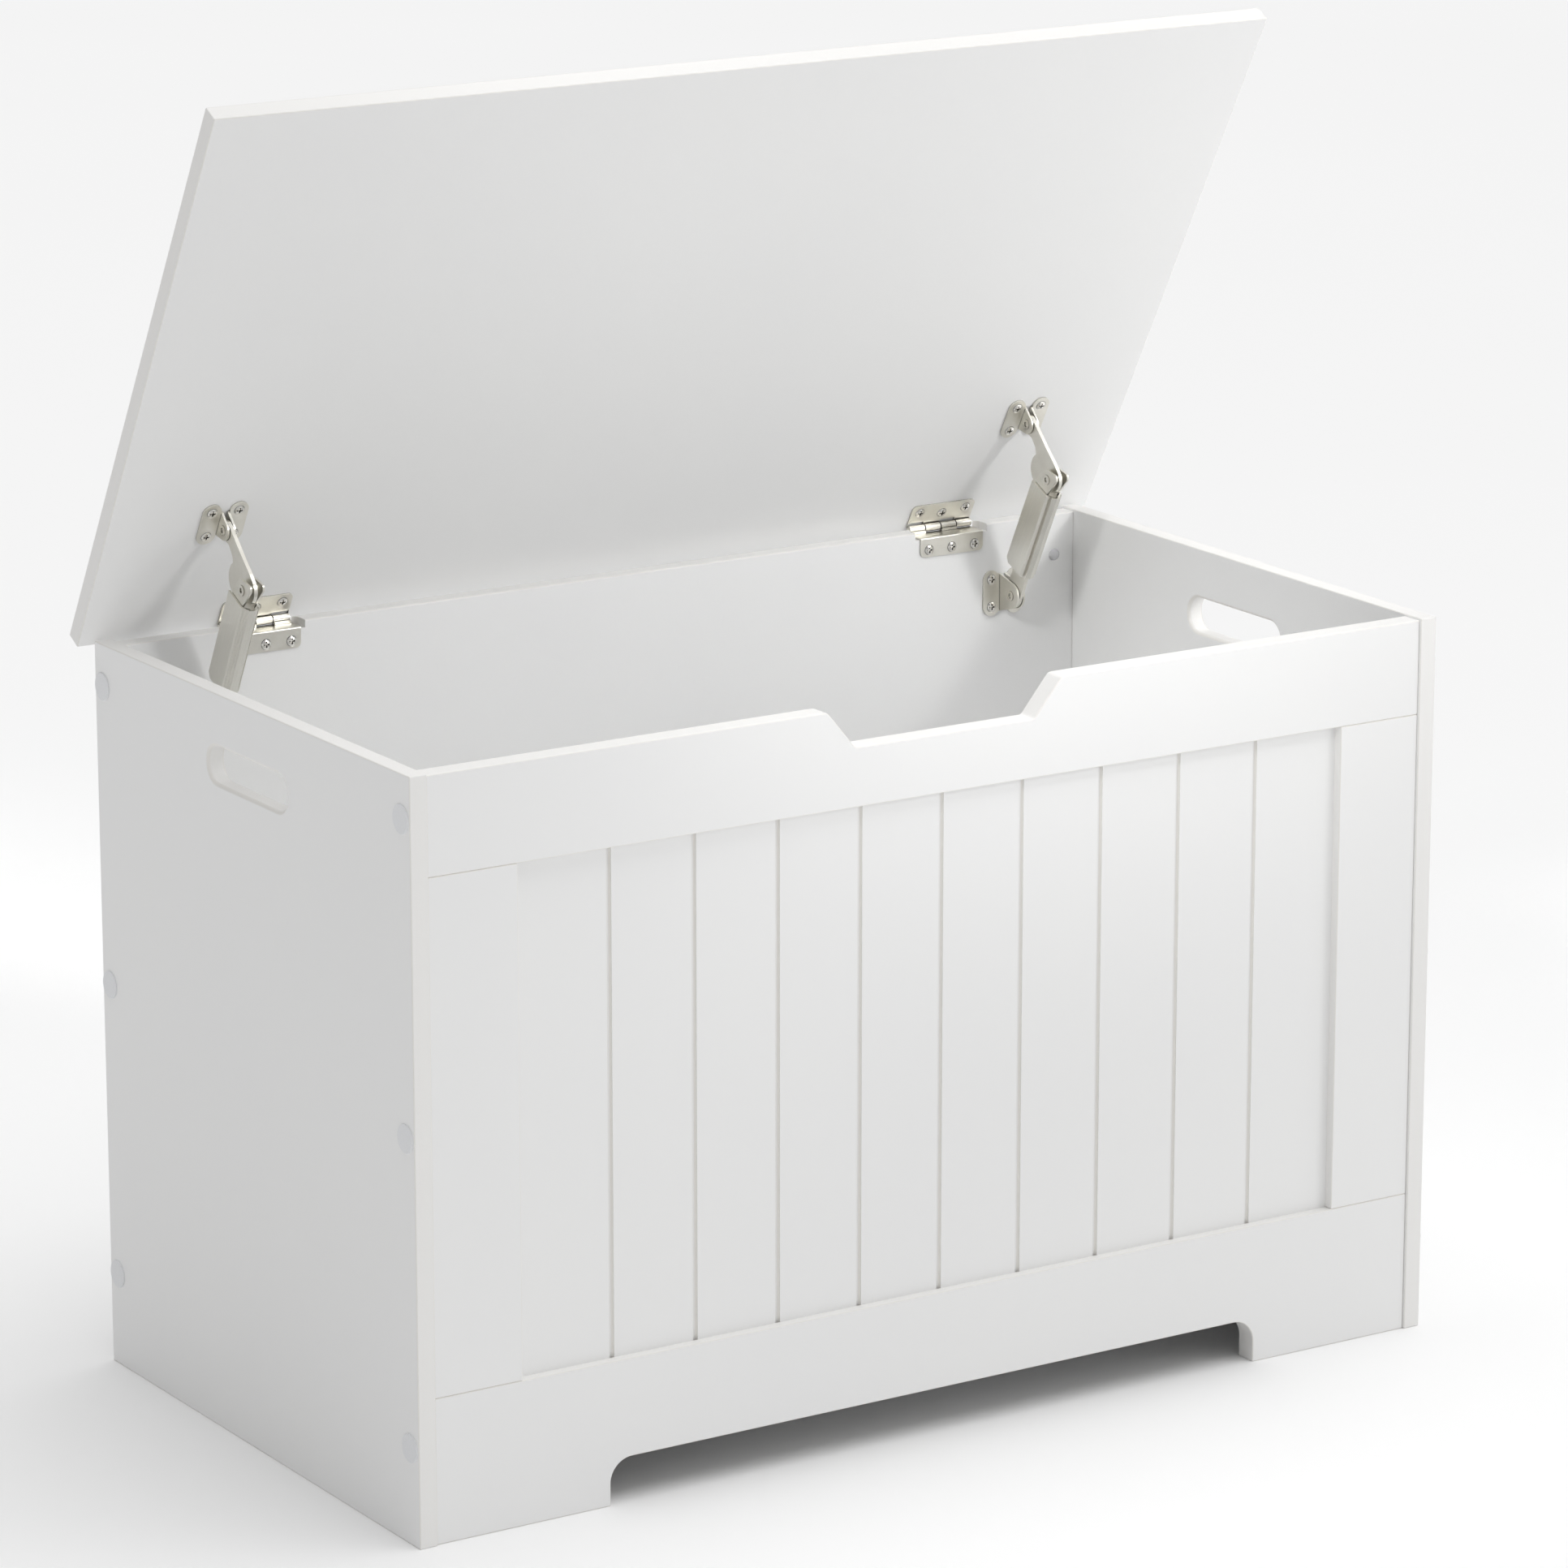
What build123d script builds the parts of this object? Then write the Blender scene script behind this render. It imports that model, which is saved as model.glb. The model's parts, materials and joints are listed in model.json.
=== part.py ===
from build123d import *
import math
import os

# Painted toy chest with a lid on two cranked hinges and two soft-close lid stays.
# Millimetres. X runs along the front, Y to the back, Z up. The shapes are drawn about the middle of
# the carcass, with the lid propped open by OPEN_ANGLE. They are saved CENTRING further forward, so
# that the origin is on the floor under the middle of the whole object, open lid included.

os.makedirs("parts", exist_ok=True)

# ---------------------------------------------------------------- driving dimensions
BODY_WIDTH = 740.0
BODY_DEPTH = 395.0
BODY_HEIGHT = 470.0
CENTRING = 7.0                   # half of what the open lid overhangs at the back
SIDE_THICKNESS = 12.0
ARRIS = 0.8                      # rounding of the sawn panel edges

BACK_THICKNESS = 12.0
BACK_RECESS = 3.0                # back panel behind the side panels' rear edges
TOP_DROP = 1.2                   # front and back stand this much lower than the sides
BACK_BOTTOM = 30.0

FRONT_THICKNESS = 15.0
FRONT_RECESS = 1.5
STILE_WIDTH = 60.0
BOTTOM_RAIL_TOP = 91.2
TOP_RAIL_BOTTOM = 408.0

NOTCH_TOP = 169.0                # finger notch in the top rail
NOTCH_BOTTOM = 129.0
NOTCH_DEPTH = 24.0
NOTCH_RADIUS = 4.0

ARCH_HALF = 238.0                # opening between the feet of the bottom rail
ARCH_HEIGHT = 29.0
ARCH_RADIUS = 15.0

PANEL_RECESS = 6.3               # grooved panel behind the frame's face
PANEL_THICKNESS = 6.0
PANEL_TONGUE = 8.0               # how far the panel's edge sits inside the frame
BOARD_PITCH = 58.6
GROOVES = 9
GROOVE_WIDTH = 3.4
GROOVE_DEPTH = 1.8
GROOVE_SHIFT = 1.5

FLOOR_THICKNESS = 9.0
FLOOR_Z = 70.0
FLOOR_HOUSING = 5.0              # depth of the groove that holds the floor board

HANDLE_LENGTH = 100.0
HANDLE_HEIGHT = 23.0
HANDLE_Z = 425.5
HANDLE_ROUNDING = 2.5

CARCASS_SCREW_Y = 187.5
CARCASS_SCREW_Z = (60.5, 251.0, 443.0)
CARCASS_SCREW_LENGTH = 50.0
CAP_RADIUS = 9.0
CAP_THICKNESS = 0.9

LID_WIDTH = 760.0
LID_DEPTH = 406.2
LID_THICKNESS = 12.0
OPEN_ANGLE = 61.0

HINGE_Y = 197.0                  # hinge pin axis
HINGE_Z = 468.0
LID_LIFT = 3.0                   # lid underside above the pin axis, lid closed
LID_REAR = 3.4                   # lid edge behind the pin axis
HINGE_X = 258.5
HINGE_LENGTH = 49.6
LEAF_THICKNESS = 1.2
LEAF_CORNER = 3.5
KNUCKLE_RADIUS = 2.7
KNUCKLE_GAP = 0.8
PIN_RADIUS = 1.4
BOX_LEAF_HEIGHT = 13.2
LID_LEAF_DEPTH = 18.0
HINGE_NOTCH_LENGTH = 57.0
HINGE_NOTCH_DEPTH = 5.0
HINGE_NOTCH_CORNER = 5.0

STAY_X = 300.0
WALL_PIVOT_OUT = 14.3            # lower pivot in front of the back panel
WALL_PIVOT_Z = 420.8
LID_PIVOT_BACK = 88.9            # upper pivot from the lid's rear edge
LID_PIVOT_OUT = 7.6              # upper pivot below the lid
LOWER_ARM_LENGTH = 97.8
UPPER_ARM_LENGTH = 42.3
ARM_THICKNESS = 2.4
PLATE = 1.4                      # bracket and housing sheet
RUNNING_GAP = 0.3
RIVET_RADIUS = 2.0
RIVET_HEAD_RADIUS = 3.3
RIVET_DISH_RADIUS = 1.7
RIVET_DISH_DEPTH = 0.8
RUNNING_CLEARANCE = 0.05
HOUSING_WIDTH = 13.0
HOUSING_BACK = -12.0             # housing, measured from the line between its two pivots
HOUSING_FRONT = 6.2
HOUSING_NOSE = 10.6
HOUSING_START = 22.0
HOUSING_END = 89.0
RELIEF_LENGTH = 17.0             # room inside the housing's nose for the folded arm's cam
RELIEF_WIDTH = 3.2
RELIEF_SKIN = 1.0
RELIEF_FLOOR = 6.0

# ---------------------------------------------------------------- worked-out places
BODY_FRONT = -BODY_DEPTH / 2
INNER_X = BODY_WIDTH / 2 - SIDE_THICKNESS
FRONT_FACE = BODY_FRONT + FRONT_RECESS
FRONT_INSIDE = FRONT_FACE + FRONT_THICKNESS
BACK_OUTSIDE = BODY_DEPTH / 2 - BACK_RECESS
BACK_INSIDE = BACK_OUTSIDE - BACK_THICKNESS
TOP_Z = BODY_HEIGHT - TOP_DROP
STILE_EDGE = INNER_X - STILE_WIDTH
PANEL_FACE = FRONT_FACE + PANEL_RECESS
LID_UNDERSIDE = HINGE_Z + LID_LIFT
LID_REAR_Y = HINGE_Y + LID_REAR
HINGE_NOTCH_FLOOR = TOP_Z - HINGE_NOTCH_DEPTH
EAR_INNER = ARM_THICKNESS / 2 + RUNNING_GAP
EAR_OUTER = EAR_INNER + PLATE
LUG_OUTER = HOUSING_WIDTH / 2 - PLATE - 0.1
LUG_INNER = LUG_OUTER - PLATE

HINGE_AXIS = Axis((0, HINGE_Y, HINGE_Z), (1, 0, 0))


def block(x0, x1, y0, y1, z0, z1):
    """Box between two corners."""
    centre = Pos((x0 + x1) / 2, (y0 + y1) / 2, (z0 + z1) / 2)
    return centre * Box(x1 - x0, y1 - y0, z1 - z0)


def rod(radius, x0, x1, y, z):
    """Cylinder along X."""
    return Pos((x0 + x1) / 2, y, z) * Rot(0, 90, 0) * Cylinder(radius, x1 - x0)


def mirrored(shape):
    """The same piece on the other side of the middle plane."""
    return mirror(shape, about=Plane.YZ)


def opened(shape):
    """A lid piece, drawn with the lid closed, swung to the open angle."""
    return shape.rotate(HINGE_AXIS, -OPEN_ANGLE)


def turned(y, z, angle):
    """A point of the YZ plane swung open about the hinge pin by an angle in degrees."""
    a = math.radians(angle)
    dy = y - HINGE_Y
    dz = z - HINGE_Z
    new_y = HINGE_Y + dy * math.cos(a) + dz * math.sin(a)
    new_z = HINGE_Z - dy * math.sin(a) + dz * math.cos(a)
    return new_y, new_z


def centred(shape):
    """A piece moved from the carcass's middle to the middle of the whole object."""
    return Pos(0, -CENTRING, 0) * shape


def save(shape, name):
    """Writes a node of one solid."""
    export_step(centred(shape), "parts/" + name + ".step")


def save_group(solids, name):
    """Writes a node of several separate solids."""
    export_step(Compound(children=[centred(s) for s in solids]), "parts/" + name + ".step")


# ---------------------------------------------------------------- screws
SCREW_HEAD = 3.3
SCREW_SHANK = 1.3
SCREW_LENGTH = 10.5
SCREW_CONE = 1.7
SCREW_DOME = 0.9
SEAT_CLEARANCE = 0.4             # the dished seats in the fittings are this much wider
CROSS_LENGTH = 4.2
CROSS_WIDTH = 1.0
CROSS_DEPTH = 1.2


def screw_body(grow=0.0):
    """Raised countersunk screw, head at z = 0, shank down; grow widens the head's cone."""
    head = SCREW_HEAD + grow
    cone = Pos(0, 0, -SCREW_CONE / 2) * Cone(SCREW_SHANK, head, SCREW_CONE)
    shank_end = -SCREW_LENGTH + 2.0
    shank = Pos(0, 0, shank_end / 2) * Cylinder(SCREW_SHANK, -shank_end)
    point = Pos(0, 0, shank_end - 1.0) * Cone(0.2, SCREW_SHANK, 2.0)
    return cone + shank + point


def wood_screw():
    """Screw with a low domed head and a cross recess."""
    sphere_radius = (SCREW_HEAD ** 2 + SCREW_DOME ** 2) / (2 * SCREW_DOME)
    ball = Pos(0, 0, SCREW_DOME - sphere_radius) * Sphere(sphere_radius)
    dome = ball & (Pos(0, 0, SCREW_DOME / 2) * Cylinder(SCREW_HEAD, SCREW_DOME))
    screw = screw_body() + dome
    for angle in (0, 90):
        slot = Pos(0, 0, SCREW_DOME - CROSS_DEPTH / 2) * Box(CROSS_LENGTH, CROSS_WIDTH, CROSS_DEPTH)
        screw -= Rot(0, 0, angle) * slot
    return screw


def carcass_screw():
    """Confirmat screw pointing to +X, its head just under the cap."""
    head = Pos(1.0, 0, 0) * Rot(0, 90, 0) * Cone(5.0, 3.5, 2.0)
    neck = rod(3.5, 2.0, SIDE_THICKNESS, 0, 0)
    thread = rod(2.5, SIDE_THICKNESS, CARCASS_SCREW_LENGTH, 0, 0)
    return head + neck + thread


def carcass_screw_spots():
    """Every screw place on the left side as a location; the right side mirrors them."""
    spots = []
    for y in (-CARCASS_SCREW_Y, CARCASS_SCREW_Y):
        for z in CARCASS_SCREW_Z:
            spots.append(Pos(-BODY_WIDTH / 2, y, z))
    return spots


def hex_socket():
    return Pos(1.25, 0, 0) * Rot(0, 90, 0) * extrude(RegularPolygon(2.2, 6), 1.25, both=True)


left_screw_bodies = [spot * carcass_screw() for spot in carcass_screw_spots()]
left_screws = [spot * (carcass_screw() - hex_socket()) for spot in carcass_screw_spots()]
right_screw_bodies = [mirrored(s) for s in left_screw_bodies]
right_screws = [mirrored(s) for s in left_screws]
all_screw_bodies = left_screw_bodies + right_screw_bodies


def drill(shape, tools):
    """Cuts the tools that reach the shape."""
    for tool in tools:
        shape = shape - tool
    return shape


# ---------------------------------------------------------------- screw places of the fittings
HINGE_SCREW_PITCH = 18.1
BOX_LEAF_SCREW_DOWN = 8.4
LID_LEAF_SCREW_BACK = (12.2, 10.0, 12.2)
BRACKET_SCREW_X = 9.4
BRACKET_SCREW_STEP = 9.4

WALL_PLANE = Plane(origin=(0, BACK_INSIDE, 0), x_dir=(1, 0, 0), z_dir=(0, -1, 0))
LID_PLANE = Plane(origin=(0, 0, LID_UNDERSIDE), x_dir=(1, 0, 0), z_dir=(0, 0, -1))


def on_wall(x, z, out):
    """Location on the back panel's inner face, standing out by so much."""
    return WALL_PLANE.location * Pos(x, z, out)


def on_lid(x, y, out):
    """Location on the closed lid's underside, hanging down by so much."""
    return LID_PLANE.location * Pos(x, -y, out)


def box_hinge_screw_spots():
    spots = []
    for i in (-1, 0, 1):
        z = HINGE_NOTCH_FLOOR + LEAF_THICKNESS - BOX_LEAF_SCREW_DOWN
        spots.append(on_wall(HINGE_X + i * HINGE_SCREW_PITCH, z, LEAF_THICKNESS))
    return spots


def lid_hinge_screw_spots():
    spots = []
    for i, back in zip((-1, 0, 1), LID_LEAF_SCREW_BACK):
        spots.append(on_lid(HINGE_X + i * HINGE_SCREW_PITCH, HINGE_Y - back, LEAF_THICKNESS))
    return spots


def wall_bracket_screw_spots():
    spots = []
    for side in (-1, 1):
        for step in (-1, 1):
            z = WALL_PIVOT_Z + step * BRACKET_SCREW_STEP
            spots.append(on_wall(STAY_X + side * BRACKET_SCREW_X, z, PLATE))
    return spots


def lid_bracket_screw_spots():
    spots = []
    for side in (-1, 1):
        for step in (-1, 1):
            y = LID_REAR_Y - LID_PIVOT_BACK + step * BRACKET_SCREW_STEP
            spots.append(on_lid(STAY_X + side * BRACKET_SCREW_X, y, PLATE))
    return spots


def place_all(shape, spots):
    return [spot * shape for spot in spots]


wall_spots = box_hinge_screw_spots() + wall_bracket_screw_spots()
lid_spots = lid_hinge_screw_spots() + lid_bracket_screw_spots()


# ---------------------------------------------------------------- carcass
def rounded(shape, radius=ARRIS):
    return fillet(shape.edges(), radius)


def side_panel():
    """Left side panel with its handle slot, floor groove and screw holes."""
    x0 = -BODY_WIDTH / 2
    panel = rounded(block(x0, -INNER_X, BODY_FRONT, -BODY_FRONT, 0, BODY_HEIGHT))
    slot_face = Plane.YZ * Pos(0, HANDLE_Z) * SlotOverall(HANDLE_LENGTH, HANDLE_HEIGHT)
    panel -= Pos(x0 - 1, 0, 0) * extrude(slot_face, SIDE_THICKNESS + 2)
    rim = panel.edges().filter_by_position(Axis.Z, HANDLE_Z - 12, HANDLE_Z + 12)
    rim = rim.filter_by_position(Axis.Y, -HANDLE_LENGTH / 2 - 1, HANDLE_LENGTH / 2 + 1)
    faces = [e for e in rim if abs(e.bounding_box().size.X) < 0.01]
    panel = fillet(faces, HANDLE_ROUNDING)
    panel -= block(-INNER_X - FLOOR_HOUSING, 0, FRONT_INSIDE - FLOOR_HOUSING,
                   BACK_INSIDE + FLOOR_HOUSING, FLOOR_Z, FLOOR_Z + FLOOR_THICKNESS)
    return drill(panel, left_screw_bodies)


def hinge_notch():
    """Pocket for the right hinge in the back panel's top edge, with cutter-rounded ends."""
    half = HINGE_NOTCH_LENGTH / 2
    cut = block(HINGE_X - half, HINGE_X + half, BACK_INSIDE, BACK_OUTSIDE, HINGE_NOTCH_FLOOR,
                TOP_Z + 1)
    rear = cut.edges().filter_by(Axis.Z).group_by(Axis.Y)[-1]
    return fillet(rear, HINGE_NOTCH_CORNER)


def back_panel():
    """Back panel with two hinge pockets, floor groove and screw holes."""
    panel = rounded(block(-INNER_X, INNER_X, BACK_INSIDE, BACK_OUTSIDE, BACK_BOTTOM, TOP_Z))
    half = HINGE_LENGTH / 2 + RUNNING_GAP
    notch = hinge_notch() + block(HINGE_X - half, HINGE_X + half, BACK_INSIDE - 1,
                                  BACK_OUTSIDE + 1, HINGE_NOTCH_FLOOR, TOP_Z + 1)
    panel -= notch
    panel -= mirrored(notch)
    panel -= block(-INNER_X, INNER_X, BACK_INSIDE - 1, BACK_INSIDE + FLOOR_HOUSING, FLOOR_Z,
                   FLOOR_Z + FLOOR_THICKNESS)
    tools = place_all(screw_body(), wall_spots)
    panel = drill(panel, tools + [mirrored(t) for t in tools])
    panel -= clear_plug()
    return drill(panel, all_screw_bodies)


def floor_board():
    reach = FLOOR_HOUSING - 0.5
    return block(-INNER_X - reach, INNER_X + reach, FRONT_INSIDE - reach, BACK_INSIDE + reach,
                 FLOOR_Z, FLOOR_Z + FLOOR_THICKNESS)


# ---------------------------------------------------------------- front frame
DOWEL_RADIUS = 3.0
DOWEL_LENGTH = 24.0
DOWEL_Y = FRONT_FACE + 10.0
DOWEL_INSET = 16.0


def dowels():
    """Two wooden dowels at each of the four corners of the front frame."""
    pegs = []
    for side in (-1, 1):
        for dx in (DOWEL_INSET, STILE_WIDTH - DOWEL_INSET):
            for z in (BOTTOM_RAIL_TOP, TOP_RAIL_BOTTOM):
                place = Pos(side * (INNER_X - dx), DOWEL_Y, z)
                pegs.append(place * Cylinder(DOWEL_RADIUS, DOWEL_LENGTH))
    return pegs


frame_pegs = dowels()


def panel_groove(x0, x1, z0, z1):
    """Room for the grooved panel's edge inside the frame."""
    return block(x0, x1, PANEL_FACE, PANEL_FACE + PANEL_THICKNESS, z0, z1)


def top_rail():
    """Top rail with the trapezoid finger notch."""
    rail = block(-INNER_X, INNER_X, FRONT_FACE, FRONT_INSIDE, TOP_RAIL_BOTTOM, TOP_Z)
    half_top = NOTCH_TOP / 2
    half_bottom = NOTCH_BOTTOM / 2
    bottom = TOP_Z - NOTCH_DEPTH
    slope = (half_top - half_bottom) / NOTCH_DEPTH
    outline = Polyline((-half_top - slope, TOP_Z + 1), (-half_bottom, bottom),
                       (half_bottom, bottom), (half_top + slope, TOP_Z + 1), close=True)
    cutter = extrude(Plane.XZ * make_face(outline), FRONT_THICKNESS * 2, both=True)
    rail -= Pos(0, FRONT_FACE, 0) * cutter
    notch_corners = rail.edges().filter_by(Axis.Y).filter_by_position(
        Axis.X, -half_top - 1, half_top + 1)
    rail = fillet(notch_corners, NOTCH_RADIUS)
    rail = rounded(rail)
    reach = STILE_EDGE + PANEL_TONGUE
    rail -= panel_groove(-reach, reach, TOP_RAIL_BOTTOM - 1, TOP_RAIL_BOTTOM + PANEL_TONGUE)
    return drill(rail, frame_pegs + all_screw_bodies)


def bottom_rail():
    """Bottom rail with the long arch that leaves two feet."""
    rail = block(-INNER_X, INNER_X, FRONT_FACE, FRONT_INSIDE, 0, BOTTOM_RAIL_TOP)
    arch = block(-ARCH_HALF, ARCH_HALF, FRONT_FACE - 1, FRONT_INSIDE + 1, -1, ARCH_HEIGHT)
    upper = arch.edges().filter_by(Axis.Y).sort_by(Axis.Z)[-2:]
    rail -= fillet(upper, ARCH_RADIUS)
    rail = rounded(rail)
    reach = STILE_EDGE + PANEL_TONGUE
    rail -= panel_groove(-reach, reach, BOTTOM_RAIL_TOP - PANEL_TONGUE, BOTTOM_RAIL_TOP + 1)
    rail -= block(-INNER_X, INNER_X, FRONT_INSIDE - FLOOR_HOUSING, FRONT_INSIDE + 1, FLOOR_Z,
                  FLOOR_Z + FLOOR_THICKNESS)
    return drill(rail, frame_pegs + all_screw_bodies)


def left_stile():
    stile = rounded(block(-INNER_X, -STILE_EDGE, FRONT_FACE, FRONT_INSIDE, BOTTOM_RAIL_TOP,
                          TOP_RAIL_BOTTOM))
    stile -= panel_groove(-STILE_EDGE - PANEL_TONGUE, 0, BOTTOM_RAIL_TOP, TOP_RAIL_BOTTOM)
    return drill(stile, frame_pegs + left_screw_bodies)


def grooved_panel():
    """Thin panel with nine vertical round-bottomed grooves."""
    reach = STILE_EDGE + PANEL_TONGUE - 0.5
    z0 = BOTTOM_RAIL_TOP - PANEL_TONGUE + 0.5
    z1 = TOP_RAIL_BOTTOM + PANEL_TONGUE - 0.5
    panel = block(-reach, reach, PANEL_FACE, PANEL_FACE + PANEL_THICKNESS, z0, z1)
    radius = (GROOVE_WIDTH ** 2 / 4 + GROOVE_DEPTH ** 2) / (2 * GROOVE_DEPTH)
    for i in range(GROOVES):
        x = GROOVE_SHIFT + (i - (GROOVES - 1) / 2) * BOARD_PITCH
        y = PANEL_FACE + GROOVE_DEPTH - radius
        panel -= Pos(x, y, (z0 + z1) / 2) * Cylinder(radius, z1 - z0 + 2)
    return panel


# ---------------------------------------------------------------- caps and the clear plug
PLUG_X = 342.0
PLUG_Z = 441.0
PLUG_RADIUS = 4.0
PLUG_STEM_RADIUS = 2.0
PLUG_STEM_LENGTH = 2.0


def cap():
    """Thin round cap on the left side's outer face."""
    disc = Pos(-CAP_THICKNESS / 2, 0, 0) * Rot(0, 90, 0) * Cylinder(CAP_RADIUS, CAP_THICKNESS)
    outer = disc.edges().sort_by(Axis.X)[0]
    return fillet(outer, 0.5)


left_caps = [spot * cap() for spot in carcass_screw_spots()]


def clear_plug():
    """Clear domed plug in the back panel, near the right corner."""
    dome = Sphere(PLUG_RADIUS) & (Pos(0, 0, PLUG_RADIUS / 2) * Box(9, 9, PLUG_RADIUS))
    low_dome = scale(dome, by=(1, 1, 0.75))
    stem = Pos(0, 0, -PLUG_STEM_LENGTH / 2) * Cylinder(PLUG_STEM_RADIUS, PLUG_STEM_LENGTH)
    return on_wall(PLUG_X, PLUG_Z, 0) * (low_dome + stem)


# ---------------------------------------------------------------- hinges
KNUCKLES = 4


def knuckle_span(i):
    """Ends of one of the four knuckles, counted from the left."""
    step = HINGE_LENGTH / KNUCKLES
    x0 = HINGE_X - HINGE_LENGTH / 2 + i * step
    gap = KNUCKLE_GAP / 2
    return x0 + gap, x0 + step - gap


def leaf_plate(length, depth, corner):
    """Thin plate, z = 0 at its back, hinge line along its top edge, lower corners rounded."""
    plate = Pos(0, -depth / 2, LEAF_THICKNESS / 2) * Box(length, depth, LEAF_THICKNESS)
    corners = plate.edges().filter_by(Axis.Z).sort_by(Axis.Y)[:2]
    return fillet(corners, corner)


def box_leaf():
    """Cranked leaf: face on the back panel, web over the pocket, knuckles one and three."""
    face_top = HINGE_NOTCH_FLOOR + LEAF_THICKNESS
    leaf = on_wall(HINGE_X, face_top, 0) * leaf_plate(HINGE_LENGTH, BOX_LEAF_HEIGHT,
                                                      LEAF_CORNER)
    half = HINGE_LENGTH / 2
    leaf += block(HINGE_X - half, HINGE_X + half, BACK_INSIDE - LEAF_THICKNESS, HINGE_Y,
                  HINGE_NOTCH_FLOOR, face_top)
    fold = leaf.edges().filter_by(Axis.X).group_by(Axis.Z)[-1].sort_by(Axis.Y)[0]
    leaf = fillet(fold, 0.9)
    for i in (0, 2):
        x0, x1 = knuckle_span(i)
        leaf += block(x0, x1, HINGE_Y - KNUCKLE_RADIUS - 1, HINGE_Y, face_top, HINGE_Z - 1)
        leaf += rod(KNUCKLE_RADIUS, x0, x1, HINGE_Y, HINGE_Z)
    leaf -= rod(PIN_RADIUS, HINGE_X - half - 1, HINGE_X + half + 1, HINGE_Y, HINGE_Z)
    return drill(leaf, place_all(screw_body(SEAT_CLEARANCE), box_hinge_screw_spots()))


def lid_leaf():
    """Flat leaf under the lid with knuckles two and four, drawn with the lid closed."""
    place = on_lid(HINGE_X, HINGE_Y, 0) * Rot(0, 0, 180)
    leaf = place * leaf_plate(HINGE_LENGTH, LID_LEAF_DEPTH, LEAF_CORNER)
    half = HINGE_LENGTH / 2
    for i in (0, 2):
        x0, x1 = knuckle_span(i)
        leaf -= block(x0 - RUNNING_GAP, x1 + RUNNING_GAP, HINGE_Y - 4.2, HINGE_Y + 9,
                      HINGE_Z, LID_UNDERSIDE + 1)
    for i in (1, 3):
        x0, x1 = knuckle_span(i)
        leaf += rod(KNUCKLE_RADIUS, x0, x1, HINGE_Y, HINGE_Z)
    leaf -= rod(PIN_RADIUS + RUNNING_CLEARANCE, HINGE_X - half - 1, HINGE_X + half + 1,
                HINGE_Y, HINGE_Z)
    return drill(leaf, place_all(screw_body(SEAT_CLEARANCE), lid_hinge_screw_spots()))


def hinge_pin():
    half = HINGE_LENGTH / 2
    return rod(PIN_RADIUS, HINGE_X - half, HINGE_X + half, HINGE_Y, HINGE_Z)


# ---------------------------------------------------------------- lid
def lid_panel():
    """Lid board, drawn closed."""
    half = LID_WIDTH / 2
    board = rounded(block(-half, half, LID_REAR_Y - LID_DEPTH, LID_REAR_Y, LID_UNDERSIDE,
                          LID_UNDERSIDE + LID_THICKNESS))
    tools = place_all(screw_body(), lid_spots)
    return drill(board, tools + [mirrored(t) for t in tools])


# ---------------------------------------------------------------- lid stays
LOWER_PIVOT = (BACK_INSIDE - WALL_PIVOT_OUT, WALL_PIVOT_Z)
UPPER_PIVOT = turned(LID_REAR_Y - LID_PIVOT_BACK, LID_UNDERSIDE - LID_PIVOT_OUT, OPEN_ANGLE)


def elbow_pivot():
    """Where the two arms meet: the crossing of their two circles, on the room side."""
    dy = UPPER_PIVOT[0] - LOWER_PIVOT[0]
    dz = UPPER_PIVOT[1] - LOWER_PIVOT[1]
    span = math.hypot(dy, dz)
    along = (LOWER_ARM_LENGTH ** 2 - UPPER_ARM_LENGTH ** 2 + span ** 2) / (2 * span)
    aside = math.sqrt(LOWER_ARM_LENGTH ** 2 - along ** 2)
    y = LOWER_PIVOT[0] + (along * dy - aside * dz) / span
    z = LOWER_PIVOT[1] + (along * dz + aside * dy) / span
    return y, z


ELBOW = elbow_pivot()


def arm_plane(start, end):
    """Plane of an arm: X from one pivot to the other, Y to the room side, Z along the chest."""
    direction = (0, end[0] - start[0], end[1] - start[1])
    return Plane(origin=(STAY_X, start[0], start[1]), x_dir=direction, z_dir=(1, 0, 0))


LOWER_PLANE = arm_plane(LOWER_PIVOT, ELBOW)
UPPER_PLANE = arm_plane(ELBOW, UPPER_PIVOT)


def plate_in(plane, profile, x0, x1):
    """A flat profile in an arm's plane, between two distances from the stay's middle."""
    return plane.location * Pos(0, 0, x0) * extrude(profile, x1 - x0)


def disc(radius, a=0.0, f=0.0):
    return Pos(a, f) * Circle(radius)


def outline(points):
    return make_face(Polyline(*points, close=True))


def lower_arm():
    """Tongue on the wall bracket, block inside the housing, and the fork at the elbow."""
    half = ARM_THICKNESS / 2
    tongue = make_hull((disc(8.0) + Pos(30, -1) * Rectangle(4, 15)).edges())
    arm = plate_in(LOWER_PLANE, tongue, -half, half)
    arm += plate_in(LOWER_PLANE, outline([(24, -8.5), (34, -8.5), (34, 4.8), (24, 4.8)]),
                    -LUG_OUTER, LUG_OUTER)
    end = LOWER_ARM_LENGTH
    cheek = outline([(24, -8.5), (end - 3, -9.5), (end + 6.0, -4.5), (end + 8.5, 8.0),
                     (end + 5.5, 9.6), (end - 8.5, 4.8), (24, 4.8)])
    cheek = fillet(cheek.vertices().sort_by(Axis.X)[-4:], 1.5)
    for x0 in (-LUG_OUTER, LUG_INNER):
        arm += plate_in(LOWER_PLANE, cheek, x0, x0 + PLATE)
    arm -= plate_in(LOWER_PLANE, disc(RIVET_RADIUS + RUNNING_CLEARANCE), -half - 1, half + 1)
    arm -= plate_in(LOWER_PLANE, disc(RIVET_RADIUS, end), -HOUSING_WIDTH, HOUSING_WIDTH)
    return arm


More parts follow.
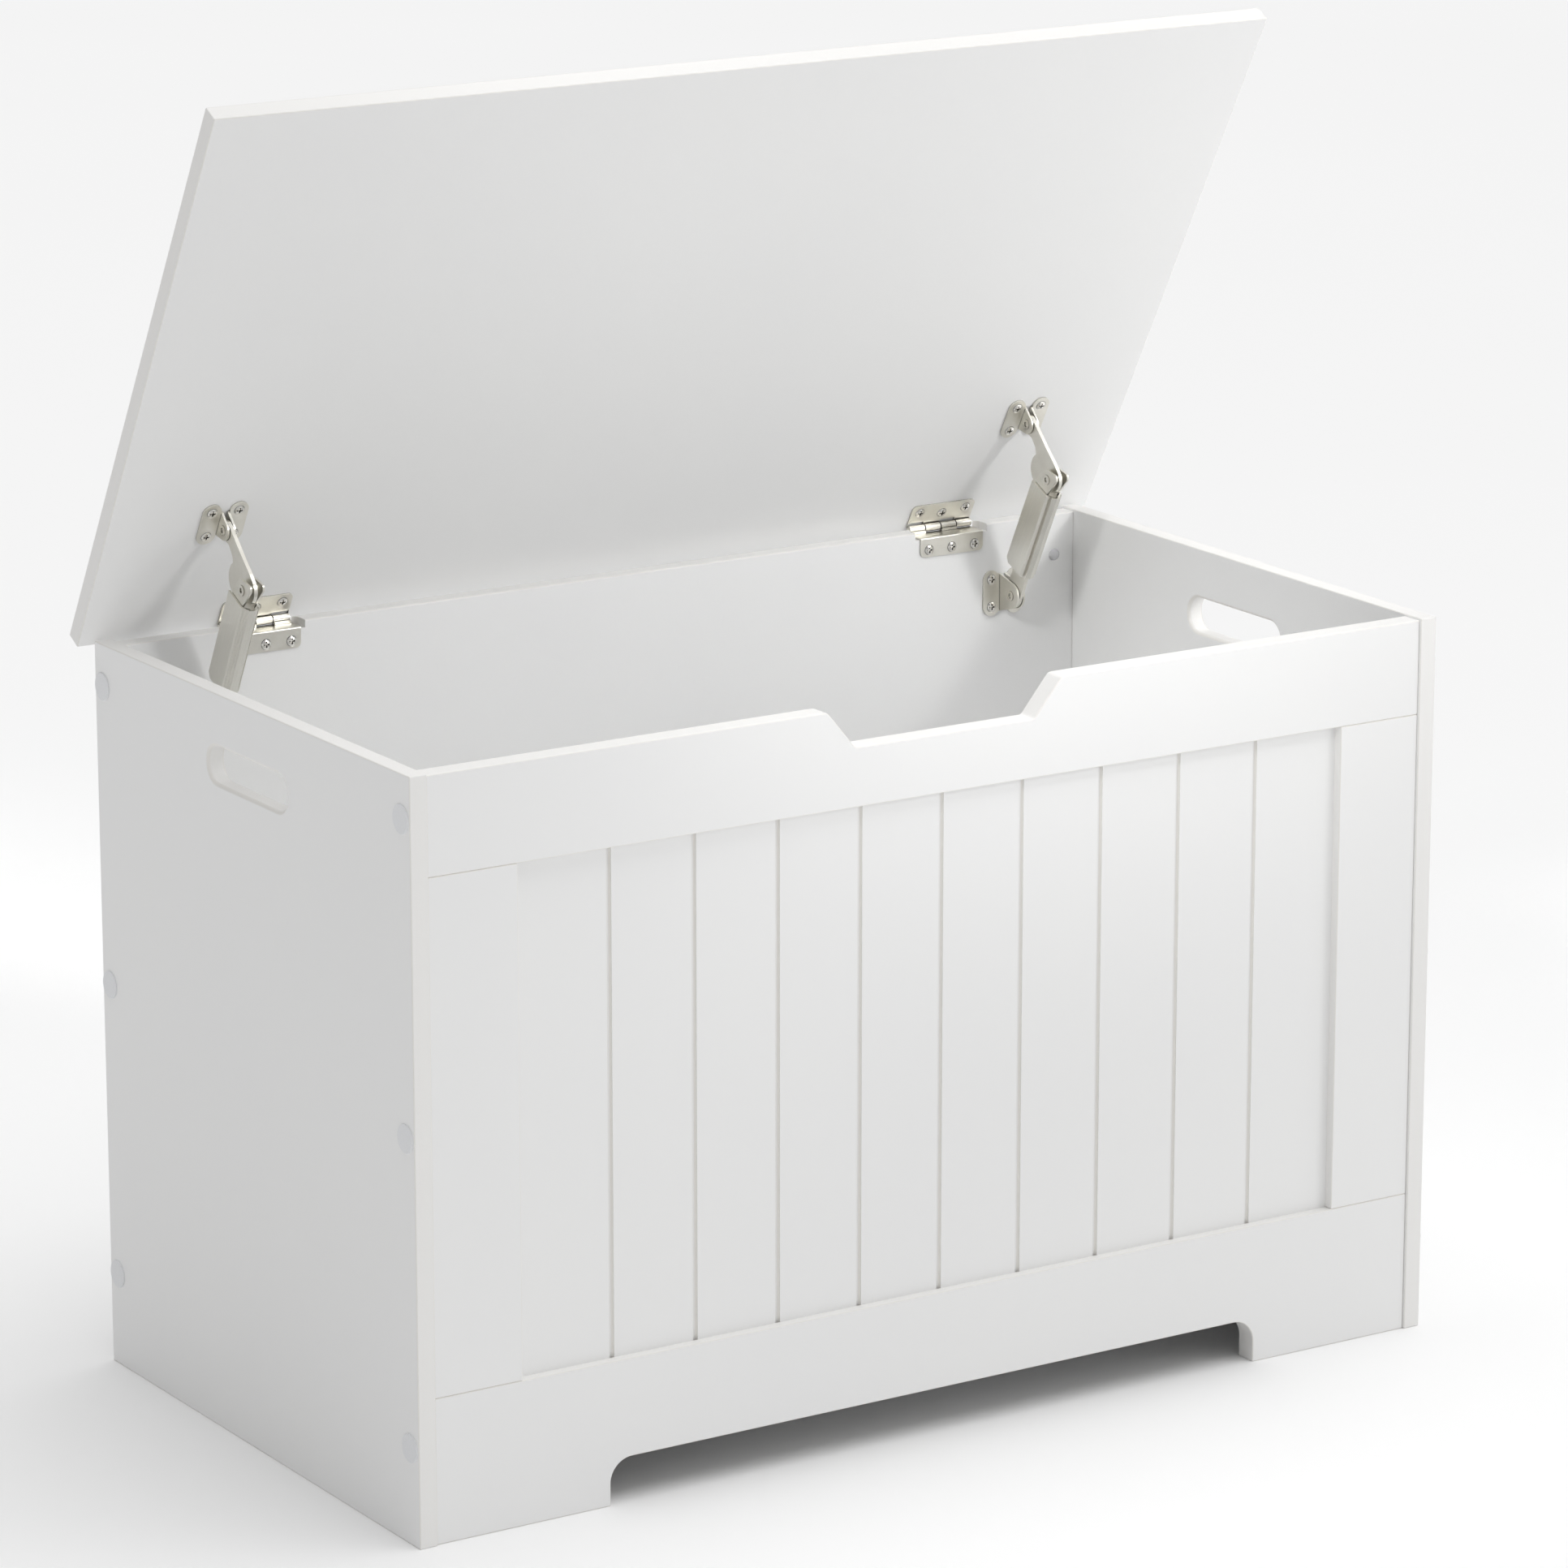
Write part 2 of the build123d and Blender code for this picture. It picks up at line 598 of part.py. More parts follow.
def housing():
    """Drawn aluminium channel, open at the rear, with a ribbed roof-shaped front."""
    w = HOUSING_WIDTH / 2
    front = HOUSING_FRONT
    nose = HOUSING_NOSE
    back = HOUSING_BACK
    skin = [(-w, back), (-w, front), (-5.3, front + 1.4), (-4.7, front + 0.2), (-3.7, front + 0.4),
            (-3.5, front + 3.2), (-0.6, nose), (2.6, nose - 0.7), (2.9, nose - 1.9),
            (3.8, nose - 2.3), (4.1, front + 1.1), (4.9, front + 0.4), (5.5, front + 0.9),
            (w, front - 0.2), (w, back)]
    inner = w - PLATE
    bore = [(inner, back), (inner, front - 1.2), (2.4, nose - 3.2), (-0.6, nose - 1.8),
            (-2.4, nose - 3.2), (-inner, front - 1.2), (-inner, back)]
    section = make_face(Polyline(*(skin + bore), close=True))
    top = LOWER_PLANE.location * Pos(HOUSING_END, 0, 0)
    downwards = Plane(origin=top.position, x_dir=(1, 0, 0), z_dir=-LOWER_PLANE.x_dir)
    tube = extrude(downwards * section, HOUSING_END - HOUSING_START)
    heel = outline([(HOUSING_START - 1, back - 1), (HOUSING_START + 4, back - 1),
                    (HOUSING_START - 1, back + 4)])
    tube -= plate_in(LOWER_PLANE, heel, -w - 1, w + 1)
    relief_start = HOUSING_END - RELIEF_LENGTH
    relief_roof = nose - RELIEF_SKIN
    relief = outline([(relief_start, RELIEF_FLOOR), (HOUSING_END + 1, RELIEF_FLOOR),
                      (HOUSING_END + 1, relief_roof), (relief_start, relief_roof)])
    return tube - plate_in(LOWER_PLANE, relief, -RELIEF_WIDTH / 2, RELIEF_WIDTH / 2)


def stay_spring():
    """Compression spring between the lower arm's block and the follower."""
    tube = disc(3.1) - disc(2.1)
    place = LOWER_PLANE.location * Pos(34.5, -2, 0) * Rot(0, 90, 0)
    return place * extrude(tube, 30)


def stay_follower():
    """Sliding block with a rounded nose that presses on the upper arm's cam."""
    body = outline([(64.5, -7), (68, -7), (69.5, -2), (68, 3), (64.5, 3)])
    return plate_in(LOWER_PLANE, body, -3.4, 3.4)


def upper_arm():
    """Stamped arm: head at the lid bracket, slim neck and a wide cam round the elbow."""
    half = ARM_THICKNESS / 2
    length = UPPER_ARM_LENGTH
    profile = outline([(length, 6.2), (20, 7.6), (6, 9), (0, 9), (0, -8), (18, -9), (21.5, -5.5),
                       (26, -2.9), (33, -2.4), (length - 3, -5.3)])
    profile += disc(6.2, length)
    profile += disc(9.0)
    profile += disc(11.3, 11.0, -7.4)
    arm = plate_in(UPPER_PLANE, profile, -half, half)
    return arm - plate_in(UPPER_PLANE, disc(RIVET_RADIUS + RUNNING_CLEARANCE), -9, 9)


def bracket_plate(base, pivot_out, tip, side):
    """Tab with two screws and an ear folded up from it; z = 0 at the back, pivot at the origin."""
    tab = Pos(BRACKET_SCREW_X, 0) * Rot(0, 0, 90) * SlotOverall(31, 12.8)
    tab += Pos((EAR_INNER + BRACKET_SCREW_X) / 2, 0) * Rectangle(BRACKET_SCREW_X - EAR_INNER, base)
    plate = extrude(tab, PLATE)
    foot = Pos(0, 0.1) * Rectangle(base, 0.2)
    ear = make_hull((foot + Pos(0, pivot_out) * Circle(tip)).edges())
    ear_plane = Plane(origin=(EAR_INNER, 0, 0), x_dir=(0, 1, 0), z_dir=(1, 0, 0))
    plate += extrude(ear_plane * ear, PLATE)
    fold = plate.edges().filter_by(Axis.Y).filter_by_position(
        Axis.X, EAR_INNER - 0.01, EAR_INNER + 0.01).sort_by(Axis.Z)[0]
    plate = fillet(fold, 1.0)
    hole = Plane(origin=(EAR_INNER - 1, 0, pivot_out), x_dir=(0, 1, 0), z_dir=(1, 0, 0))
    plate -= extrude(hole * Circle(RIVET_RADIUS), PLATE + 2)
    if side < 0:
        plate = mirrored(plate)
    return plate


def wall_bracket(side):
    spot = on_wall(STAY_X, WALL_PIVOT_Z, 0)
    bracket = spot * bracket_plate(25.6, WALL_PIVOT_OUT, 8.8, side)
    return drill(bracket, place_all(screw_body(SEAT_CLEARANCE), wall_bracket_screw_spots()))


def lid_bracket(side):
    spot = on_lid(STAY_X, LID_REAR_Y - LID_PIVOT_BACK, 0)
    bracket = spot * bracket_plate(18.0, LID_PIVOT_OUT, 6.4, side)
    return drill(bracket, place_all(screw_body(SEAT_CLEARANCE), lid_bracket_screw_spots()))


def rivet_head(x0, x1):
    """Low round head with a dished middle, lying between two distances from the middle."""
    outside = x0 if abs(x0) > abs(x1) else x1
    head = Pos((x0 + x1) / 2, 0, 0) * Rot(0, 90, 0) * Cylinder(RIVET_HEAD_RADIUS, abs(x1 - x0))
    dish = Pos(outside, 0, 0) * Rot(0, 90, 0) * Cylinder(RIVET_DISH_RADIUS, RIVET_DISH_DEPTH * 2)
    return head - dish


def pivot_rivet(grip):
    """Through rivet with a head outside each plate."""
    rivet = rod(RIVET_RADIUS, -grip, grip, 0, 0)
    return rivet + rivet_head(grip, grip + 0.8) + rivet_head(-grip - 0.8, -grip)


def wall_rivet():
    return Pos(STAY_X, *LOWER_PIVOT) * pivot_rivet(EAR_OUTER)


def elbow_rivet():
    """Rivet of the fork, with a collar on each side of the upper arm."""
    rivet = pivot_rivet(LUG_OUTER)
    for x0, x1 in ((-LUG_INNER, -EAR_INNER), (EAR_INNER, LUG_INNER)):
        rivet += rod(3.6, x0, x1, 0, 0)
    return Pos(STAY_X, *ELBOW) * rivet


def lid_rivets():
    """The lid bracket's rivet, ending at the ears so that the arm's head moves between them."""
    stubs = []
    for side in (-1, 1):
        head = rivet_head(EAR_OUTER, EAR_OUTER + 0.8) + rod(RIVET_RADIUS, EAR_INNER, EAR_OUTER, 0, 0)
        stub = head if side > 0 else mirrored(head)
        stubs.append(Pos(STAY_X, *UPPER_PIVOT) * stub)
    return stubs


# ---------------------------------------------------------------- write the parts
def both_sides(shape, right_name):
    """Saves a right-hand piece and its mirrored left-hand twin."""
    save(shape, "right_" + right_name)
    save(mirrored(shape), "left_" + right_name)


def both_sides_group(solids, right_name):
    """Saves a group of right-hand pieces and their mirrored left-hand twins."""
    save_group(solids, "right_" + right_name)
    save_group([mirrored(s) for s in solids], "left_" + right_name)


both_sides(mirrored(side_panel()), "side_panel")
save(back_panel(), "back_panel")
save(floor_board(), "floor_board")
save(top_rail(), "front_top_rail")
save(bottom_rail(), "front_bottom_rail")
both_sides(mirrored(left_stile()), "front_stile")
save(grooved_panel(), "front_grooved_panel")
save_group(frame_pegs, "front_frame_dowels")
both_sides_group(right_screws, "carcass_screws")
both_sides_group([mirrored(c) for c in left_caps], "screw_caps")
save(clear_plug(), "clear_plug")

save(opened(lid_panel()), "lid_panel")

both_sides(box_leaf(), "hinge_box_leaf")
both_sides(opened(lid_leaf()), "hinge_lid_leaf")
both_sides(hinge_pin(), "hinge_pin")
screw = wood_screw()
both_sides_group(place_all(screw, box_hinge_screw_spots()), "hinge_box_screws")
both_sides_group([opened(s) for s in place_all(screw, lid_hinge_screw_spots())],
                 "hinge_lid_screws")

for side, word in ((1, "outer"), (-1, "inner")):
    both_sides(wall_bracket(side), "stay_wall_bracket_" + word)
    both_sides(opened(lid_bracket(side)), "stay_lid_bracket_" + word)
both_sides(lower_arm(), "stay_lower_arm")
both_sides(housing(), "stay_housing")
both_sides(stay_spring(), "stay_spring")
both_sides(stay_follower(), "stay_follower")
both_sides(upper_arm(), "stay_upper_arm")
both_sides(wall_rivet(), "stay_wall_rivet")
both_sides(elbow_rivet(), "stay_elbow_rivet")
both_sides_group(lid_rivets(), "stay_lid_rivet")
both_sides_group(place_all(screw, wall_bracket_screw_spots()), "stay_wall_screws")
both_sides_group([opened(s) for s in place_all(screw, lid_bracket_screw_spots())],
                 "stay_lid_screws")
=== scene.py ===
import json
import math
import bpy
from mathutils import Matrix, Vector


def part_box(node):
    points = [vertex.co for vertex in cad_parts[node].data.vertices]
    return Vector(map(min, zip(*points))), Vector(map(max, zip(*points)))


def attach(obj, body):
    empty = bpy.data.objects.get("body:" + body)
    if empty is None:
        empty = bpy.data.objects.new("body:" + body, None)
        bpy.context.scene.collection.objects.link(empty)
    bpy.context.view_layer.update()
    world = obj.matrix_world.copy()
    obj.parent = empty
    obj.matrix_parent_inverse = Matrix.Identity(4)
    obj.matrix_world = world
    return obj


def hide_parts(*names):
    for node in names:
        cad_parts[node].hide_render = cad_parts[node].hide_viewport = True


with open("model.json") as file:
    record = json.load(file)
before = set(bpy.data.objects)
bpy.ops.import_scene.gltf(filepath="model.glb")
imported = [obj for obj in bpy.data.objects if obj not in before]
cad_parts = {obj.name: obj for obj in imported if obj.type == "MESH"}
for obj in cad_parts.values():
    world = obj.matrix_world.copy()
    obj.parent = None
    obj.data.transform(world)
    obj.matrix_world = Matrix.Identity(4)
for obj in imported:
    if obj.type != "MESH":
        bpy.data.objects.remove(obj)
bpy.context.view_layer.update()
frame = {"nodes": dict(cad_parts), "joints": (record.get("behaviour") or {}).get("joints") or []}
parts = frame["nodes"]


# ------------------------------------------------------------------ carcass, front frame and lid
# Twelve and fifteen millimetre MDF boards, sawn, sanded at the arrises and sprayed with white
# satin lacquer. They are screwed from the sides; the front is a frame with dowelled corners that
# holds a thin grooved panel.
LACQUER_WHITE = "#F2F2F1"
LACQUER_SHADE = "#EFEFEF"
ARRIS_WHITE = "#ECEAE6"
SAWN_EDGE_WHITE = "#F0EFED"
PEEL_MM = 4.5
DUST_MM = 0.9
SPRAY_CLOUD_MM = 160.0
SEED_STEP = (0.37, 0.61, 0.23)
EDGE_FIBRE_MM = 0.7


def linear(colour):
    """An sRGB hex colour as linear red, green, blue and full alpha."""
    values = [int(colour[i:i + 2], 16) / 255 for i in (1, 3, 5)]
    return [v / 12.92 if v < 0.04045 else ((v + 0.055) / 1.055) ** 2.4 for v in values] + [1.0]


def per_metre(millimetres):
    """A texture scale that repeats once in that many millimetres."""
    return 1000.0 / millimetres


def add(tree, kind, settings, links):
    """Adds a node, sets its inputs or properties, and links its inputs to other nodes' outputs."""
    made = tree.nodes.new("ShaderNode" + kind)
    for name, value in settings.items():
        if isinstance(name, int) or name in made.inputs:
            made.inputs[name].default_value = value
        else:
            setattr(made, name, value)
    for name, source in links.items():
        tree.links.new(source, made.inputs[name])
    return made


def new_material(name, **shader_values):
    """An empty node material with its shader set; returns it with its tree and shader."""
    material = bpy.data.materials.new(name)
    material.use_nodes = True
    tree = material.node_tree
    shader = tree.nodes["Principled BSDF"]
    for socket, value in shader_values.items():
        shader.inputs[socket.replace("_", " ")].default_value = value
    return material, tree, shader


def finish_with(piece, material):
    """Gives a piece one material all over."""
    piece.data.materials.clear()
    piece.data.materials.append(material)


def satin_lacquer(name, thickness_axis, seed):
    """Lacquer on MDF: flat faces level well, sawn edges drink it and stay drier and fibrous."""
    material, tree, shader = new_material(name, IOR=1.5)
    place = add(tree, "TexCoord", {}, {})
    shifted = add(tree, "VectorMath", {1: tuple(seed * step for step in SEED_STEP)},
                  {0: place.outputs["Object"]})

    cloud = add(tree, "TexNoise", {"Scale": per_metre(SPRAY_CLOUD_MM), "Detail": 3.0},
                {"Vector": shifted.outputs["Vector"]})
    face_colour = add(tree, "Mix", {"data_type": "RGBA", 6: linear(LACQUER_SHADE),
                                    7: linear(LACQUER_WHITE)}, {0: cloud.outputs["Fac"]})
    facing = add(tree, "VectorMath", {"operation": "DOT_PRODUCT", 1: thickness_axis},
                 {0: place.outputs["Normal"]})
    flatness = add(tree, "Math", {"operation": "ABSOLUTE"}, {0: facing.outputs["Value"]})
    sawn = add(tree, "MapRange", {"From Min": 0.35, "From Max": 0.15, "To Min": 0.0,
                                  "To Max": 1.0}, {"Value": flatness.outputs["Value"]})
    arris = add(tree, "MapRange", {"From Min": 0.995, "From Max": 0.93, "To Min": 0.0,
                                   "To Max": 1.0}, {"Value": flatness.outputs["Value"]})
    arris_colour = add(tree, "Mix", {"data_type": "RGBA", 7: linear(ARRIS_WHITE)},
                       {0: arris.outputs["Result"], 6: face_colour.outputs[2]})
    colour = add(tree, "Mix", {"data_type": "RGBA", 7: linear(SAWN_EDGE_WHITE)},
                 {0: sawn.outputs["Result"], 6: arris_colour.outputs[2]})
    tree.links.new(colour.outputs[2], shader.inputs["Base Color"])

    peel = add(tree, "TexNoise", {"Scale": per_metre(PEEL_MM), "Detail": 1.5, "Roughness": 0.4},
               {"Vector": shifted.outputs["Vector"]})
    gloss = add(tree, "MapRange", {"To Min": 0.36, "To Max": 0.44},
                {"Value": cloud.outputs["Fac"]})
    dry = add(tree, "Math", {"operation": "MULTIPLY_ADD", 1: 0.16},
              {0: sawn.outputs["Result"], 2: gloss.outputs["Result"]})
    tree.links.new(dry.outputs["Value"], shader.inputs["Roughness"])

    fibre = add(tree, "TexNoise", {"Scale": per_metre(EDGE_FIBRE_MM), "Detail": 4.0},
                {"Vector": shifted.outputs["Vector"]})
    rough_edge = add(tree, "Math", {"operation": "MULTIPLY"},
                     {0: fibre.outputs["Fac"], 1: sawn.outputs["Result"]})
    dust = add(tree, "TexNoise", {"Scale": per_metre(DUST_MM), "Detail": 2.0},
               {"Vector": shifted.outputs["Vector"]})
    peel_bump = add(tree, "Bump", {"Strength": 0.10, "Distance": 0.0004},
                    {"Height": peel.outputs["Fac"]})
    dust_bump = add(tree, "Bump", {"Strength": 0.06, "Distance": 0.0001},
                    {"Height": dust.outputs["Fac"], "Normal": peel_bump.outputs["Normal"]})
    edge_bump = add(tree, "Bump", {"Strength": 0.35, "Distance": 0.0003},
                    {"Height": rough_edge.outputs["Value"],
                     "Normal": dust_bump.outputs["Normal"]})
    tree.links.new(edge_bump.outputs["Normal"], shader.inputs["Normal"])
    return material


def lid_normal():
    """The direction out of the lid's top at rest, from its own corner positions."""
    low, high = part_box("lid_panel")
    lean = math.atan2(high[2] - low[2], high[1] - low[1])
    return (0.0, math.sin(lean), math.cos(lean))


boards = {"left_side_panel": (1, 0, 0), "right_side_panel": (1, 0, 0), "back_panel": (0, 1, 0),
          "floor_board": (0, 0, 1), "front_top_rail": (0, 1, 0), "front_bottom_rail": (0, 1, 0),
          "left_front_stile": (0, 1, 0), "right_front_stile": (0, 1, 0),
          "front_grooved_panel": (0, 1, 0), "lid_panel": lid_normal()}
for number, (board, axis) in enumerate(boards.items()):
    finish_with(parts[board], satin_lacquer("satin_lacquer_on_mdf_" + board, axis, number))


# ------------------------------------------------------------------ dowels in the front frame
# Beech pegs glued into the rail and stile ends, hidden when the frame is together. Turned along
# the grain, so the pores show as short dark flecks along the peg.
def turned_beech():
    """Beech, turned and left bare: pale pink-brown with fine darker flecks along the grain."""
    material, tree, shader = new_material("turned_beech", Roughness=0.62, IOR=1.5)
    place = add(tree, "TexCoord", {}, {})
    along = add(tree, "Mapping", {"Scale": (1.0, 1.0, 0.08)}, {"Vector": place.outputs["Object"]})
    flecks = add(tree, "TexNoise", {"Scale": per_metre(0.8), "Detail": 5.0},
                 {"Vector": along.outputs["Vector"]})
    ramp = add(tree, "Mix", {"data_type": "RGBA", 6: linear("#A9794F"), 7: linear("#D8B48A")},
               {0: flecks.outputs["Fac"]})
    tree.links.new(ramp.outputs[2], shader.inputs["Base Color"])
    pores = add(tree, "Bump", {"Strength": 0.4, "Distance": 0.0002},
                {"Height": flecks.outputs["Fac"]})
    tree.links.new(pores.outputs["Normal"], shader.inputs["Normal"])
    return material


finish_with(parts["front_frame_dowels"], turned_beech())


# ------------------------------------------------------------------ body screws and their caps
# Twelve zinc-plated furniture screws go through the side panels into the edges of the back panel
# and front rails. Each head is covered by a thin self-adhesive cap of white plastic.
def zinc_plate():
    """Zinc electroplate on steel: blue-grey metal with a cloudy, slightly dull bloom."""
    material, tree, shader = new_material("zinc_plate", Metallic=1.0)
    place = add(tree, "TexCoord", {}, {})
    bloom = add(tree, "TexNoise", {"Scale": per_metre(3.0), "Detail": 4.0},
                {"Vector": place.outputs["Object"]})
    colour = add(tree, "Mix", {"data_type": "RGBA", 6: linear("#A3A8AC"), 7: linear("#C5C8C8")},
                 {0: bloom.outputs["Fac"]})
    dull = add(tree, "MapRange", {"To Min": 0.28, "To Max": 0.48},
               {"Value": bloom.outputs["Fac"]})
    tree.links.new(colour.outputs[2], shader.inputs["Base Color"])
    tree.links.new(dull.outputs["Result"], shader.inputs["Roughness"])
    grain = add(tree, "Bump", {"Strength": 0.2, "Distance": 0.0001},
                {"Height": bloom.outputs["Fac"]})
    tree.links.new(grain.outputs["Normal"], shader.inputs["Normal"])
    return material


def embossed_cap_foil():
    """Embossed PVC foil: white with a fine leather-like grain that keeps it from shining."""
    material, tree, shader = new_material("embossed_white_pvc", IOR=1.53, Roughness=0.5)
    place = add(tree, "TexCoord", {}, {})
    grain = add(tree, "TexNoise", {"Scale": per_metre(0.8), "Detail": 3.0},
                {"Vector": place.outputs["Object"]})
    colour = add(tree, "Mix", {"data_type": "RGBA", 6: linear("#E3E4E6"), 7: linear("#ECEDEF")},
                 {0: grain.outputs["Fac"]})
    emboss = add(tree, "Bump", {"Strength": 0.25, "Distance": 0.0002},
                 {"Height": grain.outputs["Fac"]})
    tree.links.new(colour.outputs[2], shader.inputs["Base Color"])
    tree.links.new(emboss.outputs["Normal"], shader.inputs["Normal"])
    return material


zinc = zinc_plate()
cap_plastic = embossed_cap_foil()
for side in ("left", "right"):
    finish_with(parts[side + "_carcass_screws"], zinc)
    finish_with(parts[side + "_screw_caps"], cap_plastic)


# ------------------------------------------------------------------ clear plug in the back panel
# A small domed plug of clear plastic pressed into the back panel's inner face, high in the right
# corner. Moulded and glossy, so it shows a bright spot and a darker rim.
def clear_moulded_plastic():
    """Clear polycarbonate: see-through, with faint flow lines left by the mould."""
    material, tree, shader = new_material("clear_polycarbonate", IOR=1.58, Roughness=0.08,
                                          Transmission_Weight=0.35)
    place = add(tree, "TexCoord", {}, {})
    flow = add(tree, "TexNoise", {"Scale": per_metre(2.5), "Detail": 2.0},
               {"Vector": place.outputs["Object"]})
    colour = add(tree, "Mix", {"data_type": "RGBA", 6: linear("#F3F2FA"), 7: linear("#FFFFFF")},
                 {0: flow.outputs["Fac"]})
    ripple = add(tree, "Bump", {"Strength": 0.15, "Distance": 0.0002},
                 {"Height": flow.outputs["Fac"]})
    tree.links.new(colour.outputs[2], shader.inputs["Base Color"])
    tree.links.new(ripple.outputs["Normal"], shader.inputs["Normal"])
    return material


finish_with(parts["clear_plug"], clear_moulded_plastic())


# ------------------------------------------------------------------ hinges and stay brackets
# Leaves, pins, brackets and arms are blanked and bent from mild steel strip, tumbled to break the
# edges and plated with satin nickel: warm grey, softly shiny, with faint rolling lines.
NICKEL_LIGHT = "#F1EFE8"
NICKEL_DARK = "#DEDBD1"
ROLLING_LINE_MM = 0.5
# Dark grey used as painted shade in gaps and recesses of the nickel parts.
PAINTED_RECESS_SHADE = "#4A463F"
KNUCKLE_SHADE_GAP = 0.0015
AO_SAMPLES = 8


def free_of_painted_shade(tree, gap):
    """One in the open, falling to nothing down in a gap of that width, where painted shade goes in.
    """
    open_sky = add(tree, "AmbientOcclusion", {"Distance": gap, "samples": AO_SAMPLES}, {})
    return add(tree, "MapRange", {"From Min": 0.35, "From Max": 0.75},
               {"Value": open_sky.outputs["AO"]})


def satin_nickel(name, strip_direction, roughness):
    """Satin nickel plate: warm grey with faint rolling lines, and painted shade in its gaps."""
    material, tree, shader = new_material(name, Metallic=1.0)
    place = add(tree, "TexCoord", {}, {})
    stretched = add(tree, "Mapping", {"Scale": strip_direction},
                    {"Vector": place.outputs["Object"]})
    lines = add(tree, "TexNoise", {"Scale": per_metre(ROLLING_LINE_MM), "Detail": 3.0},
                {"Vector": stretched.outputs["Vector"]})
    stain = add(tree, "TexNoise", {"Scale": per_metre(9.0), "Detail": 3.0},
                {"Vector": place.outputs["Object"]})
    plate = add(tree, "Mix", {"data_type": "RGBA", 6: linear(NICKEL_DARK),
                              7: linear(NICKEL_LIGHT)}, {0: stain.outputs["Fac"]})
    unshaded = free_of_painted_shade(tree, KNUCKLE_SHADE_GAP)
    # Painted shade: the plate colour is mixed towards dark grey wherever occlusion finds a gap.
    colour = add(tree, "Mix", {"data_type": "RGBA", 6: linear(PAINTED_RECESS_SHADE)},
                 {0: unshaded.outputs["Result"], 7: plate.outputs[2]})
    tree.links.new(colour.outputs[2], shader.inputs["Base Color"])
    gloss = add(tree, "MapRange", {"To Min": roughness - 0.06, "To Max": roughness + 0.08},
                {"Value": lines.outputs["Fac"]})
    tree.links.new(gloss.outputs["Result"], shader.inputs["Roughness"])
    relief = add(tree, "Bump", {"Strength": 0.12, "Distance": 0.0001},
                 {"Height": lines.outputs["Fac"]})
    tree.links.new(relief.outputs["Normal"], shader.inputs["Normal"])
    return material


hinge_nickel = satin_nickel("satin_nickel_hinge_strip", (0.06, 1.0, 1.0), 0.30)
bracket_nickel = satin_nickel("satin_nickel_bracket_strip", (1.0, 0.06, 0.06), 0.34)
arm_nickel = satin_nickel("satin_nickel_arm_strip", (1.0, 0.3, 0.06), 0.32)
rivet_nickel = satin_nickel("satin_nickel_rivet_wire", (1.0, 1.0, 1.0), 0.24)
for side in ("left", "right"):
    for part in ("hinge_box_leaf", "hinge_lid_leaf", "hinge_pin"):
        finish_with(parts[side + "_" + part], hinge_nickel)
    for part in ("wall_bracket_outer", "wall_bracket_inner", "lid_bracket_outer",
                 "lid_bracket_inner"):
        finish_with(parts[side + "_stay_" + part], bracket_nickel)
    for part in ("lower_arm", "upper_arm"):
        finish_with(parts[side + "_stay_" + part], arm_nickel)
    for part in ("wall_rivet", "elbow_rivet", "lid_rivet"):
        finish_with(parts[side + "_stay_" + part], rivet_nickel)


# ------------------------------------------------------------------ screws of the fittings
# Raised countersunk wood screws with a cross recess, cold headed and bright nickel plated. They
# are glossier than the strip they hold, so they read as small bright dots.
CROSS_SHADE_GAP = 0.0012


def bright_nickel():
    """Bright nickel on a cold-headed screw: mirror-like, with painted shade down in the cross
    recess.
    """
    material, tree, shader = new_material("bright_nickel", Metallic=1.0)
    place = add(tree, "TexCoord", {}, {})
    marks = add(tree, "TexNoise", {"Scale": per_metre(0.6), "Detail": 4.0},
                {"Vector": place.outputs["Object"]})
    plate = add(tree, "Mix", {"data_type": "RGBA", 6: linear("#EDEAE4"), 7: linear("#FDFBF7")},
                {0: marks.outputs["Fac"]})
    unshaded = free_of_painted_shade(tree, CROSS_SHADE_GAP)
    # Painted shade: the plate colour is mixed towards dark grey down in the cross recess.
    colour = add(tree, "Mix", {"data_type": "RGBA", 6: linear(PAINTED_RECESS_SHADE)},
                 {0: unshaded.outputs["Result"], 7: plate.outputs[2]})
    gloss = add(tree, "MapRange", {"To Min": 0.10, "To Max": 0.22},
                {"Value": marks.outputs["Fac"]})
    dents = add(tree, "Bump", {"Strength": 0.10, "Distance": 0.0001},
                {"Height": marks.outputs["Fac"]})
    tree.links.new(colour.outputs[2], shader.inputs["Base Color"])
    tree.links.new(gloss.outputs["Result"], shader.inputs["Roughness"])
    tree.links.new(dents.outputs["Normal"], shader.inputs["Normal"])
    return material


screw_nickel = bright_nickel()
for side in ("left", "right"):
    for part in ("hinge_box_screws", "hinge_lid_screws", "stay_wall_screws", "stay_lid_screws"):
        finish_with(parts[side + "_" + part], screw_nickel)


# ------------------------------------------------------------------ stay housings
# Extruded aluminium channels that hold each stay's spring. The die leaves fine lines along the
# whole length, and the satin nickel-coloured anodising makes them soft and a little warm.
DIE_LINE_MM = 0.35
ARM_LENGTHWISE = 0.02
pivots = {joint["name"]: Vector(joint["pos_m"]) for joint in frame["joints"]}


